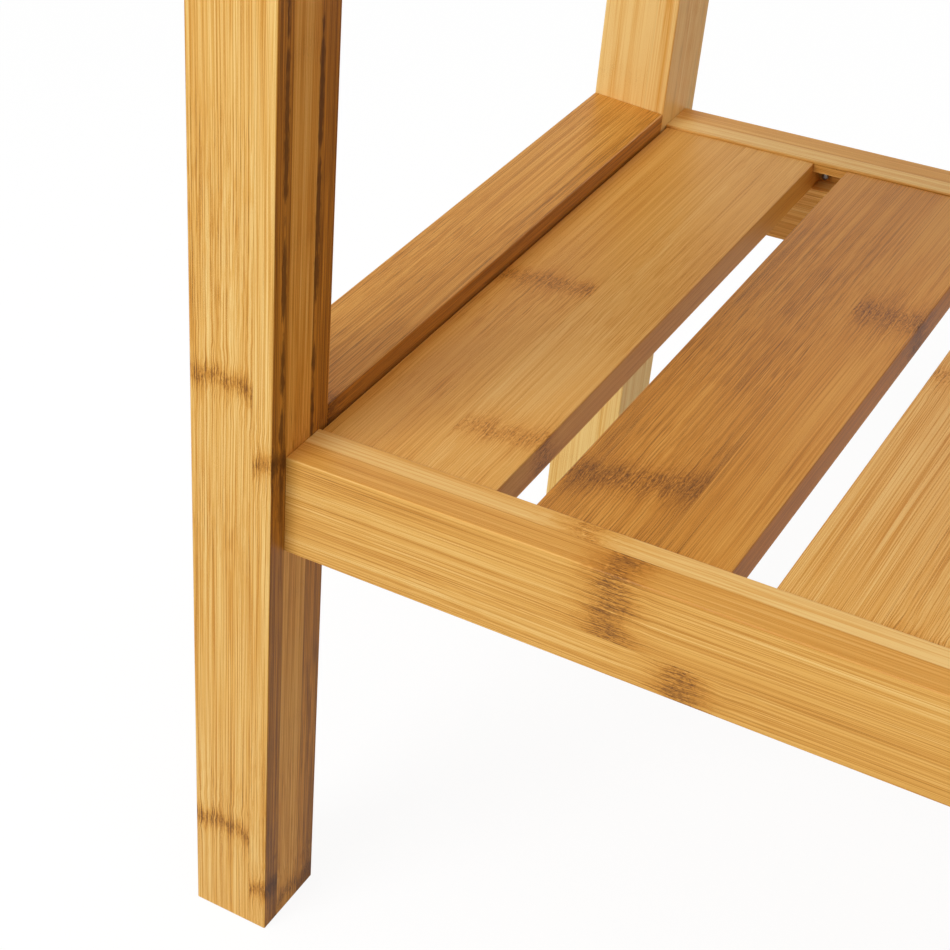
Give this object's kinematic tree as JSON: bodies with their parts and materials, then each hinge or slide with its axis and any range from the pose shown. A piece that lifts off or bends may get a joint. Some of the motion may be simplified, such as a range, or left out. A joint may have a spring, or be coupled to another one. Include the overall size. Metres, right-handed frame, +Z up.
{
  "type": "entryway bench",
  "caption": "Slatted bamboo entryway bench with a lower shoe shelf and legs that lean out at the foot.",
  "frame": {"origin": "centre of the footprint, on the floor", "axes": "+X along the length, to the right seen from the front; +Y to the back; +Z up"},
  "size_m": [0.76, 0.293, 0.45],
  "materials": {
    "leg": "satin lacquered laminated bamboo, bright honey",
    "rail": "satin lacquered laminated bamboo, honey",
    "end_board": "satin lacquered laminated bamboo, brown honey",
    "slat": "satin lacquered laminated bamboo, tan",
    "dowel": "unfinished hardwood",
    "fastener": "zinc-plated steel",
    "brad": "bright steel, dulled"
  },
  "bodies": {
    "root": {"leg_front_left": "leg", "leg_front_right": "leg", "leg_back_left": "leg", "leg_back_right": "leg", "shelf_rail_front": "rail", "shelf_rail_back": "rail", "seat_rail_front": "rail", "seat_rail_back": "rail", "shelf_end_board_left": "end_board", "shelf_end_board_right": "end_board", "seat_end_board_left": "end_board", "seat_end_board_right": "end_board", "shelf_slat_1": "slat", "shelf_slat_2": "slat", "shelf_slat_3": "slat", "shelf_slat_4": "slat", "shelf_slat_5": "slat", "shelf_slat_6": "slat", "shelf_slat_7": "slat", "shelf_slat_8": "slat", "shelf_slat_9": "slat", "seat_slat_1": "slat", "seat_slat_2": "slat", "seat_slat_3": "slat", "seat_slat_4": "slat", "seat_slat_5": "slat", "seat_slat_6": "slat", "seat_slat_7": "slat", "seat_slat_8": "slat", "seat_slat_9": "slat", "shelf_barrel_nuts": "fastener", "shelf_rail_dowels": "dowel", "shelf_board_dowels": "dowel", "shelf_groove_brads": "brad", "seat_barrel_nuts": "fastener", "seat_rail_dowels": "dowel", "seat_board_dowels": "dowel", "seat_groove_brads": "brad", "shelf_rail_bolts": "fastener", "seat_rail_bolts": "fastener"}
  },
  "joints": []
}
